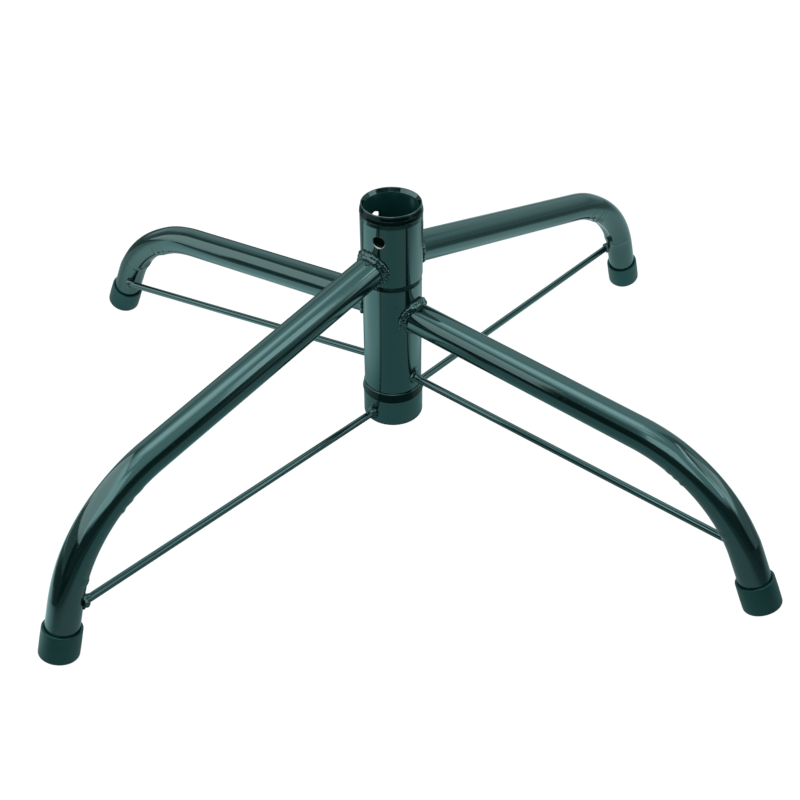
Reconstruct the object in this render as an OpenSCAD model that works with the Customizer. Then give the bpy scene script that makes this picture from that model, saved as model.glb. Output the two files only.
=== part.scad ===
// Swivelling four-legged stand for an artificial tree.
// Two welded steel frames share one column: the upper pair of legs is fixed to the
// socket tube, and the lower pair is welded to a sleeve that turns round that tube,
// so the lower legs swing in beside the upper ones for storage.
// Millimetres, +Z up. The origin is on the floor under the column's axis, and +X runs
// along the upper pair of legs.

/* [Tree pole and socket] */
// Diameter of the tree pole that drops into the socket
pole_d = 32; // [22:0.5:38]
// Gap all round between the pole and the socket
pole_gap = 0.3; // [0.15:0.05:0.8]
// Wall of the socket tube
socket_wall = 1; // [0.8:0.1:1.6]
// Height of the socket's mouth above the floor
mouth_z = 180; // [172:1:200]
// Height of the rolled mouth above the upper sleeve
mouth_rise = 6; // [5:0.5:9]
// Height of the rolled bead under the lip
bead_h = 4.5; // [3:0.1:4.6]
// How far the rolled bead stands out from the tube
bead_bulge = 2; // [1.2:0.1:3]
// How far the lip flares outwards
lip_flare = 1.2; // [0.4:0.1:2]
// Thickness of the disc that the pole stands on
stop_t = 2; // [1.5:0.5:4]

/* [Sleeves, ring and collar] */
// Wall of the upper sleeve
upper_sleeve_wall = 1.7; // [1.4:0.1:2.5]
// Length of the upper sleeve
upper_sleeve_l = 43; // [38:1:50]
// Wall of the swivelling sleeve
swivel_wall = 1.2; // [0.8:0.1:1.4]
// Running gap between the socket tube and the swivelling sleeve
swivel_gap = 0.1; // [0.05:0.05:0.2]
// Length of the swivelling sleeve
swivel_l = 80.5; // [76:0.5:84]
// Gap of the seam between the upper sleeve and the swivelling sleeve
seam_gap = 1.2; // [0.5:0.1:2]
// Gap between the swivelling sleeve and the ring under it
ring_gap = 0.3; // [0.2:0.1:0.8]
// Height of the half-round ring that carries the swivelling sleeve
ring_h = 6.4; // [5:0.2:8]
// How far the ring stands out past the collar
ring_bulge = 0.5; // [0:0.1:1]
// Wall of the bottom collar
collar_wall = 2.2; // [1.8:0.1:3]
// Length of the bottom collar
collar_l = 19.2; // [17:0.2:24]
// Rounding of the sleeves' and the collar's cut edges
edge_round = 0.4; // [0.2:0.1:0.5]

/* [Screw holes] */
// Diameter of the tapped holes for the thumb screws
screw_d = 8; // [5:0.5:10]
// Number of tapped holes round the mouth
screw_count = 3; // [1:1:4]
// Height of the holes below the upper sleeve's top edge
screw_drop = 11.5; // [7:0.5:14]
// Direction of the first hole, from +X
screw_turn = 81; // [60:1:100]

/* [Legs] */
// Outer diameter of the leg tube
leg_d = 19.5; // [16:0.5:21]
// Wall of the leg tube
leg_wall = 1.2; // [0.8:0.1:2]
// Radius of the one bend in each leg
bend_r = 95; // [70:1:105]
// Distance from the column's axis to the middle of each foot
foot_reach = 266; // [240:1:300]
// Angle between the two pairs of legs as the stand is set up
spread_angle = 98; // [60:1:120]
// Height of an upper leg's middle line above the upper sleeve's lower edge
upper_leg_up = 9.2; // [8:0.1:14]
// Slope of an upper leg's long run below the horizontal
upper_leg_slope = 13.7; // [11:0.1:16]
// Lean of an upper leg's end from the vertical
upper_leg_lean = 19.3; // [15:0.1:24]
// Depth of a lower leg's middle line below the swivelling sleeve's top edge
lower_leg_down = 25; // [20:0.5:30]
// Slope of a lower leg's long run below the horizontal
lower_leg_slope = 5.8; // [3:0.1:8]
// Lean of a lower leg's end from the vertical
lower_leg_lean = 26.6; // [22:0.1:30]

/* [Brace rods] */
// Diameter of the brace rods
brace_d = 4.8; // [4:0.2:6]
// Height of an upper leg's brace above the collar's lower edge
upper_brace_up = 7; // [5:0.5:12]
// Height of that brace's outer end above the floor
upper_brace_foot_z = 36.5; // [30:0.5:42]
// Distance of that outer end to the side of the leg's middle line
upper_brace_side = 7.2; // [0:0.1:9]
// Height of a lower leg's brace above the swivelling sleeve's lower edge
lower_brace_up = 11.5; // [8:0.5:18]
// Height of that brace's outer end above the floor
lower_brace_foot_z = 31; // [29:0.5:38]
// Distance of that outer end to the side of the leg's middle line
lower_brace_side = 8.4; // [0:0.1:9]
// Distance of that brace's inner end to the other side of the column's middle line
lower_brace_hub_side = 2.4; // [0:0.1:6]

/* [Foot caps] */
// Wall of the plastic cap on each leg's end
cap_wall = 1.75; // [1.2:0.05:2.5]
// Length of the cap
cap_l = 18.6; // [14:0.2:20]
// Thickness of the cap's floor
cap_floor = 2.5; // [2:0.1:4]
// Rounding of the cap's floor edge
cap_round = 1.5; // [0.8:0.1:2]
// Depth of the flat that the cap stands on
foot_flat = 0.4; // [0.2:0.1:0.6]

/* [Welds] */
// Width of the weld bead round each leg's root
leg_weld = 2.2; // [1:0.1:3]
// How far a brace's weld stands out round the rod
brace_weld = 1.5; // [0.8:0.1:2]

/* [Hidden] */
$fn = 96;

// The enamel and the caps, as they look in daylight
enamel = [0.14, 0.26, 0.25];
weld_enamel = [0.18, 0.31, 0.30];
cap_green = [0.13, 0.22, 0.21];
inner_steel = [0.10, 0.18, 0.17];

// How far a cutting shape runs past the face that it cuts
past = 1;
// How much fuller a leg's bend is than its straight runs, and how far they reach into it
bend_swell = 0.05;
bend_lap = 1;

// Radii of the column's pieces, from the pole outwards
bore_r = pole_d / 2 + pole_gap;
socket_r = bore_r + socket_wall;
upper_sleeve_r = socket_r + upper_sleeve_wall;
swivel_bore_r = socket_r + swivel_gap;
swivel_r = swivel_bore_r + swivel_wall;
collar_r = socket_r + collar_wall;
ring_r = collar_r + ring_bulge;

// Heights down the column
sleeve_top_z = mouth_z - mouth_rise;
sleeve_low_z = sleeve_top_z - upper_sleeve_l;
swivel_top_z = sleeve_low_z - seam_gap;
swivel_low_z = swivel_top_z - swivel_l;
ring_top_z = swivel_low_z - ring_gap;
collar_top_z = ring_top_z - ring_h;
collar_low_z = collar_top_z - collar_l;
socket_low_z = collar_low_z + stop_t;
screw_z = sleeve_top_z - screw_drop;

// The two pairs of legs: UP is fixed to the socket tube, LOW swivels
UP = 0;
LOW = 1;
leg_r = leg_d / 2;
cap_r = leg_r + cap_wall;
pair_turn = [0, spread_angle];
hub_r = [upper_sleeve_r, swivel_r];
hub_z = [sleeve_low_z + upper_leg_up, swivel_top_z - lower_leg_down];
slope = [upper_leg_slope, lower_leg_slope];
lean = [upper_leg_lean, lower_leg_lean];
brace_hub_r = [collar_r, swivel_r];
brace_hub_z = [collar_low_z + upper_brace_up, swivel_low_z + lower_brace_up];
brace_hub_side = [0, -lower_brace_hub_side];
brace_foot_z = [upper_brace_foot_z, lower_brace_foot_z];
brace_foot_side = [upper_brace_side, lower_brace_side];

// Points of a leg's middle line, as [distance from the column's axis, height]
function on_axis_z(p) = hub_z[p] + hub_r[p] * tan(slope[p]);
function foot_z(p) = (cap_r - cap_round) * sin(lean[p]) + cap_round * (1 - cos(lean[p])) - foot_flat;
function bend_angle(p) = 90 - slope[p] - lean[p];
function bend_step(p) = bend_r * [cos(lean[p]) - sin(slope[p]), sin(lean[p]) - cos(slope[p])];
// What the two straight runs have to cover between them
function to_cover(p) = [foot_reach, foot_z(p) - on_axis_z(p)] - bend_step(p);
function long_run(p) = let (c = to_cover(p))
    (c[0] * cos(lean[p]) + c[1] * sin(lean[p])) / cos(slope[p] + lean[p]);
function end_run(p) = let (c = to_cover(p))
    -(c[0] * sin(slope[p]) + c[1] * cos(slope[p])) / cos(slope[p] + lean[p]);
function bend_start(p) = [long_run(p) * cos(slope[p]), on_axis_z(p) - long_run(p) * sin(slope[p])];
function bend_middle(p) = bend_start(p) - bend_r * [sin(slope[p]), cos(slope[p])];
function bend_end(p) = bend_middle(p) + bend_r * [cos(lean[p]), sin(lean[p])];
// Distance of the middle line from the column's axis at a height near the foot
function leg_reach_at(p, z) = z <= bend_end(p)[1]
    ? foot_reach - (z - foot_z(p)) * tan(lean[p])
    : bend_middle(p)[0] + sqrt(pow(bend_r, 2) - pow(z - bend_middle(p)[1], 2));
// Lean of the middle line from the vertical at that height
function leg_lean_at(p, z) = z <= bend_end(p)[1]
    ? lean[p]
    : asin((z - bend_middle(p)[1]) / bend_r);
// Ends of a brace rod's middle line
function brace_in(p) = [0, brace_hub_side[p], brace_hub_z[p]];
function brace_out(p) = [leg_reach_at(p, brace_foot_z[p]), brace_foot_side[p], brace_foot_z[p]];
function brace_dir(p) = (brace_out(p) - brace_in(p)) / norm(brace_out(p) - brace_in(p));
// Where the rod's middle line leaves the column
function brace_leaves(p) = brace_in(p)
    + brace_dir(p) * sqrt(pow(brace_hub_r[p], 2) - pow(brace_hub_side[p], 2));
// Cosine of the angle between the rod and the leg where they meet
function brace_along_leg(p) = let (l = leg_lean_at(p, brace_foot_z[p]), d = brace_dir(p))
    d[0] * sin(l) - d[2] * cos(l);
// Point on the rod's middle line beside the first touch of rod and leg
function brace_lands(p) = brace_out(p) - brace_dir(p)
    * sqrt((pow(leg_r, 2) - pow(brace_foot_side[p] - brace_d / 2, 2))
           / (1 - pow(brace_along_leg(p), 2)));

// A piece that belongs to a pair: arm 0 points along the pair's direction, arm 1 the other way
module on_arm(p, arm) {
    rotate([0, 0, pair_turn[p] + 180 * arm]) children();
}

// A tube or ring round the column, with softened outer edges
module round_sleeve(r_in, r_out, z_low, z_top) {
    rotate_extrude()
        polygon([[r_in, z_low], [r_out - edge_round, z_low],
                 [r_out - edge_round * (1 - sin(45)), z_low + edge_round * (1 - cos(45))],
                 [r_out, z_low + edge_round], [r_out, z_top - edge_round],
                 [r_out - edge_round * (1 - sin(45)), z_top - edge_round * (1 - cos(45))],
                 [r_out - edge_round, z_top], [r_in, z_top]]);
}

// The tapped holes, cut through the sleeve and the socket tube together
module screw_holes() {
    for (i = [0 : screw_count - 1])
        rotate([0, 0, screw_turn + i * 360 / screw_count])
            translate([bore_r / 2, 0, screw_z])
                rotate([0, 90, 0])
                    cylinder(d = screw_d, h = upper_sleeve_r, $fn = 48);
}

// Inner tube of the column, with a rolled bead and a flared lip at its mouth
module socket_tube() {
    // The groove behind the bead is shallower than the bead, and the wall is thinned there
    groove_share = 0.8;
    groove = bead_bulge * groove_share;
    bead_wall = socket_wall / 2;
    // Bevel of the lip's two edges
    bevel_share = 0.3;
    bevel = socket_wall * bevel_share;
    outside = [for (t = [0 : 15 : 180])
        [socket_r + bead_bulge * sin(t), sleeve_top_z + bead_h / 2 * (1 - cos(t))]];
    lip = [[socket_r + lip_flare, mouth_z - bevel],
           [socket_r + lip_flare - bevel, mouth_z],
           [bore_r + lip_flare + bevel, mouth_z],
           [bore_r + lip_flare, mouth_z - bevel]];
    inside = [for (t = [180 : -15 : 0])
        [bore_r + groove * sin(t),
         sleeve_top_z + bead_wall + (bead_h / 2 - bead_wall) * (1 - cos(t))]];
    color(inner_steel)
        difference() {
            rotate_extrude()
                polygon(concat([[bore_r, socket_low_z], [socket_r, socket_low_z]],
                               outside, lip, inside));
            screw_holes();
        }
}

// Fixed sleeve at the top of the column, with the tapped holes
module upper_sleeve() {
    color(enamel)
        difference() {
            round_sleeve(socket_r, upper_sleeve_r, sleeve_low_z, sleeve_top_z);
            screw_holes();
        }
}

// Long sleeve that turns round the socket tube and carries the lower legs
module swivel_sleeve() {
    color(enamel)
        round_sleeve(swivel_bore_r, swivel_r, swivel_low_z, swivel_top_z);
}

// Half-round ring on the socket tube that keeps the swivelling sleeve up
module thrust_ring() {
    // The half-round is an ellipse on a narrow flat land, widest below its middle,
    // and it starts on the collar's outer edge
    land_share = 0.1;
    rise_share = 0.62;
    steps = 12;
    land_r = socket_r + (ring_r - socket_r) * land_share;
    swell = ring_r - land_r;
    rise = ring_h * rise_share;
    start = -acos((collar_r - land_r) / swell);
    color(inner_steel)
        rotate_extrude()
            polygon(concat([[socket_r, collar_top_z]],
                [for (i = [0 : steps]) let (t = start + (90 - start) * i / steps)
                    [land_r + swell * cos(t),
                     t < 0 ? collar_top_z + (ring_h - rise) * (1 - sin(t) / sin(start))
                           : ring_top_z - rise * (1 - sin(t))]],
                [[socket_r, ring_top_z]]));
}

// Collar at the foot of the column, which holds the ring up and the inner braces
module bottom_collar() {
    color(enamel)
        round_sleeve(socket_r, collar_r, collar_low_z, collar_top_z);
}

// Disc in the collar, under the socket tube, that the tree pole stands on
module pole_stop() {
    color(inner_steel)
        translate([0, 0, collar_low_z])
            cylinder(r = socket_r, h = stop_t);
}

// A leg's path as a solid: long run, bend and end run. The bend is fuller than the
// straight runs by swell, and they reach a little way into it
module leg_path(p, r, swell, longer) {
    translate([0, 0, on_axis_z(p)])
        rotate([0, 90 + slope[p], 0])
            cylinder(r = r, h = long_run(p) + bend_lap);
    translate([bend_middle(p)[0], 0, bend_middle(p)[1]])
        rotate([90, 0, 0])
            rotate([0, 0, lean[p]])
                rotate_extrude(angle = bend_angle(p))
                    translate([bend_r, 0]) circle(r = r + swell);
    translate([bend_end(p)[0], 0, bend_end(p)[1]])
        rotate([0, 180 - lean[p], 0])
            translate([0, 0, -bend_lap])
                cylinder(r = r, h = bend_lap + end_run(p) - cap_floor + longer);
}

// The outside of a leg, for the tube itself and for what is welded to it
module leg_outside(p) {
    leg_path(p, leg_r, bend_swell, 0);
}

// The column as a plain round bar, for cutting what is welded to its outside
module column_bar(r) {
    translate([0, 0, collar_low_z - past])
        cylinder(r = r, h = mouth_z);
}

// A bent leg tube, cut to the curve of the sleeve that it is welded to
module leg(p, arm) {
    color(enamel)
        on_arm(p, arm)
            difference() {
                leg_outside(p);
                leg_path(p, leg_r - leg_wall, -bend_swell, past);
                column_bar(hub_r[p]);
            }
}

// A straight rod between two points
module rod(a, b, r) {
    d = b - a;
    translate(a)
        rotate([0, acos(d[2] / norm(d)), atan2(d[1], d[0])])
            cylinder(r = r, h = norm(d), $fn = 48);
}

// A brace rod from the foot of the column to the side of a leg's end
module brace(p, arm) {
    color(enamel)
        on_arm(p, arm)
            difference() {
                rod(brace_in(p), brace_out(p), brace_d / 2);
                column_bar(brace_hub_r[p]);
                leg_outside(p);
            }
}

// A plastic cup pushed on a leg's end, with a small flat where it stands
module cap(p, arm) {
    floor_edge = [for (t = [0 : 15 : 90])
        [cap_r - cap_round * (1 - sin(t)), cap_round * (1 - cos(t))]];
    color(cap_green)
        on_arm(p, arm)
            difference() {
                translate([foot_reach, 0, foot_z(p)])
                    rotate([0, -lean[p], 0])
                        rotate_extrude()
                            polygon(concat([[0, 0]], floor_edge,
                                [[cap_r, cap_l - edge_round], [cap_r - edge_round, cap_l],
                                 [leg_r, cap_l], [leg_r, cap_floor], [0, cap_floor]]));
                translate([foot_reach - 2 * cap_r, -2 * cap_r, -2 * cap_r])
                    cube([4 * cap_r, 4 * cap_r, 2 * cap_r]);
            }
}

// Weld bead that follows the joint between a leg and its sleeve
module leg_weld_bead(p, arm) {
    color(weld_enamel)
        on_arm(p, arm)
            difference() {
                intersection() {
                    translate([0, 0, on_axis_z(p)])
                        rotate([0, 90 + slope[p], 0])
                            cylinder(r = leg_r + leg_weld, h = hub_r[p] + 2 * leg_r);
                    column_bar(hub_r[p] + leg_weld);
                }
                column_bar(hub_r[p]);
                translate([0, 0, on_axis_z(p)])
                    rotate([0, 90 + slope[p], 0])
                        cylinder(r = leg_r, h = hub_r[p] + 3 * leg_r);
            }
}

// Weld lump at a brace's inner end, on the column
module brace_hub_weld(p, arm) {
    color(weld_enamel)
        on_arm(p, arm)
            difference() {
                translate(brace_leaves(p)) sphere(r = brace_d / 2 + brace_weld, $fn = 48);
                column_bar(brace_hub_r[p]);
                rod(brace_in(p), brace_out(p), brace_d / 2);
            }
}

// Weld lump at a brace's outer end, on the leg
module brace_foot_weld(p, arm) {
    color(weld_enamel)
        on_arm(p, arm)
            difference() {
                translate(brace_lands(p)) sphere(r = brace_d / 2 + brace_weld, $fn = 48);
                leg_outside(p);
                rod(brace_in(p), brace_out(p) + brace_dir(p) * brace_d, brace_d / 2);
            }
}

module upper_leg_right() { leg(UP, 0); }
module upper_leg_left() { leg(UP, 1); }
module lower_leg_back() { leg(LOW, 0); }
module lower_leg_front() { leg(LOW, 1); }

module upper_brace_right() { brace(UP, 0); }
module upper_brace_left() { brace(UP, 1); }
module lower_brace_back() { brace(LOW, 0); }
module lower_brace_front() { brace(LOW, 1); }

module upper_cap_right() { cap(UP, 0); }
module upper_cap_left() { cap(UP, 1); }
module lower_cap_back() { cap(LOW, 0); }
module lower_cap_front() { cap(LOW, 1); }

module upper_leg_weld_right() { leg_weld_bead(UP, 0); }
module upper_leg_weld_left() { leg_weld_bead(UP, 1); }
module lower_leg_weld_back() { leg_weld_bead(LOW, 0); }
module lower_leg_weld_front() { leg_weld_bead(LOW, 1); }

module upper_brace_hub_weld_right() { brace_hub_weld(UP, 0); }
module upper_brace_hub_weld_left() { brace_hub_weld(UP, 1); }
module lower_brace_hub_weld_back() { brace_hub_weld(LOW, 0); }
module lower_brace_hub_weld_front() { brace_hub_weld(LOW, 1); }

module upper_brace_foot_weld_right() { brace_foot_weld(UP, 0); }
module upper_brace_foot_weld_left() { brace_foot_weld(UP, 1); }
module lower_brace_foot_weld_back() { brace_foot_weld(LOW, 0); }
module lower_brace_foot_weld_front() { brace_foot_weld(LOW, 1); }

socket_tube();
upper_sleeve();
swivel_sleeve();
thrust_ring();
bottom_collar();
pole_stop();
upper_leg_left();
upper_leg_right();
lower_leg_front();
lower_leg_back();
upper_brace_left();
upper_brace_right();
lower_brace_front();
lower_brace_back();
upper_cap_left();
upper_cap_right();
lower_cap_front();
lower_cap_back();
upper_leg_weld_left();
upper_leg_weld_right();
lower_leg_weld_front();
lower_leg_weld_back();
upper_brace_hub_weld_left();
upper_brace_hub_weld_right();
lower_brace_hub_weld_front();
lower_brace_hub_weld_back();
upper_brace_foot_weld_left();
upper_brace_foot_weld_right();
lower_brace_foot_weld_front();
lower_brace_foot_weld_back();
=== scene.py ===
import math

import bmesh
import bpy
from mathutils import Matrix, Vector


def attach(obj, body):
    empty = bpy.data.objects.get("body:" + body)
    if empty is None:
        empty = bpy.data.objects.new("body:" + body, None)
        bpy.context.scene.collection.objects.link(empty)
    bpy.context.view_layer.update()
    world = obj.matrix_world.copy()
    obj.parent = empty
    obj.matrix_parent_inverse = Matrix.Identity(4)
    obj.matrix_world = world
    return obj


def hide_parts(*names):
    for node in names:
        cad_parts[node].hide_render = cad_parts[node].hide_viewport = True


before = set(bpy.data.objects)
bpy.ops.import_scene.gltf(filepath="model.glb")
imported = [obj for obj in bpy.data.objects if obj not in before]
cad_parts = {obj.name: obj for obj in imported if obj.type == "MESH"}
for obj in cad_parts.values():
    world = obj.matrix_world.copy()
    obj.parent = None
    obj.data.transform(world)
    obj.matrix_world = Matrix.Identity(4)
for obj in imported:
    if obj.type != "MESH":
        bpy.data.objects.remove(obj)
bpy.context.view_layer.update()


# Socket tube
# The thin inner tube of the column that the tree pole drops into. Steel, with a bead rolled
# round its mouth and a lip flared above it, drilled through for three thumb screws, and dipped
# in the same dark green gloss enamel as the rest of the frame.
MM = 0.001
BORE_R = 16.3 * MM
SOCKET_R = 17.3 * MM
SOCKET_LOW = 25.4 * MM
SLEEVE_TOP = 174 * MM
MOUTH_Z = 180 * MM
SCREW_R = 4 * MM
SCREW_Z = 162.5 * MM
SCREW_TURNS = (81, 201, 321)


def add_node(tree, kind, feeds=None, **settings):
    """A node with its settings, and its inputs given as {name or index: value or an output}."""
    node = tree.nodes.new(kind)
    for key, value in settings.items():
        setattr(node, key, value)
    for key, value in (feeds or {}).items():
        if isinstance(value, bpy.types.NodeSocket):
            tree.links.new(value, node.inputs[key])
        else:
            node.inputs[key].default_value = value
    return node


def maths(tree, operation, *feeds):
    """The result of one step of arithmetic in a tree."""
    return add_node(tree, "ShaderNodeMath", dict(enumerate(feeds)), operation=operation).outputs[0]


def scaled(tree, value, low, high, to_low=0, to_high=1, easing="LINEAR"):
    """A value taken from one range to another, and held at its ends."""
    feeds = {"Value": value, "From Min": low, "From Max": high, "To Min": to_low,
             "To Max": to_high}
    return add_node(tree, "ShaderNodeMapRange", feeds, interpolation_type=easing).outputs["Result"]


def mottle(tree, place, scale, detail, roughness=0.5):
    """Noise at a place: the greater the scale, the finer its grain."""
    return add_node(tree, "ShaderNodeTexNoise", {"Vector": place, "Scale": scale, "Detail": detail,
                                                 "Roughness": roughness}).outputs["Fac"]


def blended(tree, share, one, two):
    """A colour between two, each given as (r, g, b, 1) or as an output."""
    return add_node(tree, "ShaderNodeMix", {"Factor": share, 6: one, 7: two},
                    data_type="RGBA").outputs[2]


def new_finish(name):
    """A new material, its nodes, and the place on the object that its detail goes by."""
    mat = bpy.data.materials.new(name)
    mat.use_nodes = True
    return mat, mat.node_tree, add_node(mat.node_tree, "ShaderNodeTexCoord").outputs["Object"]


def set_finish(tree, colour, rough, height=None, depth=0):
    """Feeds the shader its colour, its roughness and a relief of a depth in metres."""
    shader = tree.nodes["Principled BSDF"]
    tree.links.new(colour, shader.inputs["Base Color"])
    tree.links.new(rough, shader.inputs["Roughness"])
    if height is not None:
        bump = add_node(tree, "ShaderNodeBump",
                        {"Strength": 1, "Distance": depth, "Height": height})
        tree.links.new(bump.outputs["Normal"], shader.inputs["Normal"])
    return shader


def enamel_finish(name, deep, thin, peel_depth, gloss, sheen=1.966):
    """Dipped enamel: colour that thins in clouds, orange peel, and a few dull specks of dust.
    The sheen is the index of its clear skin."""
    mat, tree, place = new_finish(name)
    cloud = mottle(tree, place, 34, 3, 0.55)
    peel = mottle(tree, place, 330, 1.5, 0.4)
    dust = scaled(tree, mottle(tree, place, 1100, 0), 0.77, 0.83)
    rough = scaled(tree, cloud, 0.3, 0.7, gloss, gloss + 0.05)
    shader = set_finish(tree, blended(tree, cloud, (*deep, 1), (*thin, 1)),
                        maths(tree, "MULTIPLY_ADD", dust, 0.2, rough), peel, peel_depth)
    shader.inputs["IOR"].default_value = sheen
    shader.inputs["Specular Tint"].default_value = (0.62, 1.0, 1.0, 1)
    return mat


green_enamel = enamel_finish("green_enamel", (0.0003, 0.0064, 0.0060), (0.0008, 0.0088, 0.0082),
                             0.000005, 0.06)
# painted shade: a darker, duller copy of the enamel, put where two parts meet, in the hollows and
# along the lower edges
painted_shade_enamel = enamel_finish("painted_shade_enamel", (0.0001, 0.0034, 0.0032), (0.0003, 0.0050, 0.0047),
                              0.000010, 0.10, 1.25)
# painted light: the enamel inside the bore is about four times lighter than the outside's, so the
# shaded inside of the mouth reads as lit
painted_light_inner_enamel = enamel_finish("painted_light_inner_enamel", (0.0022, 0.0250, 0.0232), (0.0060, 0.0600, 0.0555),
                             0.000030, 0.26)


def finished(name, bm, finish):
    """The smooth-shaded object for a mesh: doubles merged, faces outward, one finish."""
    bmesh.ops.remove_doubles(bm, verts=bm.verts, dist=0.00001)
    bmesh.ops.recalc_face_normals(bm, faces=bm.faces)
    mesh = bpy.data.meshes.new(name)
    bm.to_mesh(mesh)
    bm.free()
    for face in mesh.polygons:
        face.use_smooth = True
    mesh.materials.append(finish)
    piece = bpy.data.objects.new(name, mesh)
    bpy.context.scene.collection.objects.link(piece)
    return piece


def rounded(corners, radius, steps=5):
    """A closed outline with each (r, z) corner rounded; a corner's third value is its own radius.
    Points close to the ends of each straight run keep its shading flat."""
    arcs = []
    for i, corner in enumerate(corners):
        here = Vector(corner[:2])
        before = Vector(corners[i - 1][:2]) - here
        after = Vector(corners[(i + 1) % len(corners)][:2]) - here
        r = corner[2] if len(corner) > 2 else radius
        if r <= 0:
            arcs.append([here])
            continue
        half = before.angle(after) / 2
        reach = min(r / math.tan(half), 0.48 * before.length, 0.48 * after.length)
        start = here + before.normalized() * reach
        end = here + after.normalized() * reach
        arcs.append([start * (1 - t) ** 2 + here * 2 * t * (1 - t) + end * t ** 2
                     for t in (k / steps for k in range(steps + 1))])
    outline = []
    for i, arc in enumerate(arcs):
        run = arcs[(i + 1) % len(arcs)][0] - arc[-1]
        inset = min(0.12 * MM, 0.3 * run.length)
        outline += arc
        if run.length > 0.15 * MM:
            outline += [arc[-1] + run.normalized() * inset,
                        arc[-1] + run.normalized() * (run.length - inset)]
    return outline


def turned(outline, steps=160):
    """The mesh of a closed (r, z) outline turned once round the z axis."""
    bm = bmesh.new()
    rings = [[bm.verts.new((p[0] * math.cos(a), p[0] * math.sin(a), p[1])) for p in outline]
             for a in (2 * math.pi * k / steps for k in range(steps))]
    for k in range(steps):
        one, two = rings[k], rings[(k + 1) % steps]
        for i in range(len(outline)):
            j = (i + 1) % len(outline)
            bm.faces.new((one[i], two[i], two[j], one[j]))
    return bm


def drilled(piece):
    """Cuts the three screw holes through a turned piece, with drills that span its wall."""
    drill_length, drill_middle = 12 * MM, 17.5 * MM
    bm = bmesh.new()
    for turn in SCREW_TURNS:
        out = Vector((math.cos(math.radians(turn)), math.sin(math.radians(turn)), 0))
        lie = out.to_track_quat("Z", "Y").to_matrix().to_4x4()
        lie = Matrix.Translation(out * drill_middle + Vector((0, 0, SCREW_Z))) @ lie
        bmesh.ops.create_cone(bm, cap_ends=True, segments=48, radius1=SCREW_R, radius2=SCREW_R,
                              depth=drill_length, matrix=lie)
    mesh = bpy.data.meshes.new("drill")
    bm.to_mesh(mesh)
    bm.free()
    drill = bpy.data.objects.new("drill", mesh)
    bpy.context.scene.collection.objects.link(drill)
    cut = piece.modifiers.new("holes", "BOOLEAN")
    cut.operation = "DIFFERENCE"
    cut.solver = "EXACT"
    cut.object = drill
    view = bpy.context.evaluated_depsgraph_get()
    drilled_mesh = bpy.data.meshes.new_from_object(piece.evaluated_get(view))
    piece.modifiers.clear()
    piece.data = drilled_mesh
    bpy.data.objects.remove(drill)
    piece.data.set_sharp_from_angle(angle=math.radians(40))


socket_outline = rounded(
    [(BORE_R, SOCKET_LOW), (SOCKET_R, SOCKET_LOW), (SOCKET_R, SLEEVE_TOP + 0.2 * MM),
     # the bead, and the slope above it; these and the groove under the lip take the painted shade
     (19.20 * MM, SLEEVE_TOP + 0.2 * MM, 0.3 * MM),
     (18.95 * MM, SLEEVE_TOP + 2.6 * MM, 0.2 * MM),
     (18.70 * MM, SLEEVE_TOP + 2.95 * MM, 0.2 * MM),
     (18.10 * MM, SLEEVE_TOP + 4.7 * MM, 0.3 * MM),
     # the groove under the lip
     (17.85 * MM, SLEEVE_TOP + 4.95 * MM, 0.15 * MM),
     # the lip and its worn edge
     (18.50 * MM, MOUTH_Z - 0.6 * MM, 0.4 * MM),
     (18.15 * MM, MOUTH_Z, 0.55 * MM),
     (17.75 * MM, MOUTH_Z - 0.1 * MM, 0.2 * MM),
     # the flare of the mouth, down to the bore
     (BORE_R + 0.1 * MM, MOUTH_Z - 2.7 * MM, 1.0 * MM),
     (BORE_R, MOUTH_Z - 4.5 * MM, 1.0 * MM)], 0.1 * MM)
socket = finished("socket_tube_rolled", turned(socket_outline), green_enamel)
drilled(socket)
socket.data.materials.append(painted_shade_enamel)
socket.data.materials.append(painted_light_inner_enamel)
for face in socket.data.polygons:
    r = math.hypot(face.center.x, face.center.y)
    z = face.center.z
    # painted light: the bore gets the lighter inner enamel
    if r < BORE_R + 0.3 * MM:
        face.material_index = 2
    # painted shade: the bead, its slope and the groove under the lip get the darker, duller enamel
    elif SLEEVE_TOP < z < MOUTH_Z - 0.7 * MM and r > 17.8 * MM:
        face.material_index = 1
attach(socket, "upper_frame")
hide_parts("socket_tube")


# Upper sleeve
# A short length of thicker steel tube fixed round the top of the socket tube. It carries the
# upper legs, and its wall gives the screw holes their depth. Its ends are turned and deburred.
SLEEVE_R = 19.0 * MM
SLEEVE_LOW = 131 * MM
upper_sleeve = finished(
    "upper_sleeve_turned",
    turned(rounded([(SOCKET_R, SLEEVE_LOW), (SLEEVE_R, SLEEVE_LOW, 0.9 * MM),
                    (SLEEVE_R, SLEEVE_TOP - 2.4 * MM, 1.5 * MM),
                    (SLEEVE_R - 0.28 * MM, SLEEVE_TOP, 0.15 * MM), (SOCKET_R, SLEEVE_TOP)],
                   0.1 * MM)),
    green_enamel)
drilled(upper_sleeve)
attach(upper_sleeve, "upper_frame")
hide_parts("upper_sleeve")


# Tapped threads
# The three holes are tapped after the enamel, so their threads are bare steel, with a thin rim
# where the tap has cut through the enamel at the outer wall. Their colour holds a painted
# highlight low at the outer end and painted shade elsewhere.
def input_keys(tree):
    """The identifier of each of a tree's inputs, by its name."""
    return {item.name: item.identifier for item in tree.interface.items_tree
            if item.item_type == "SOCKET" and item.in_out == "INPUT"}


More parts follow.
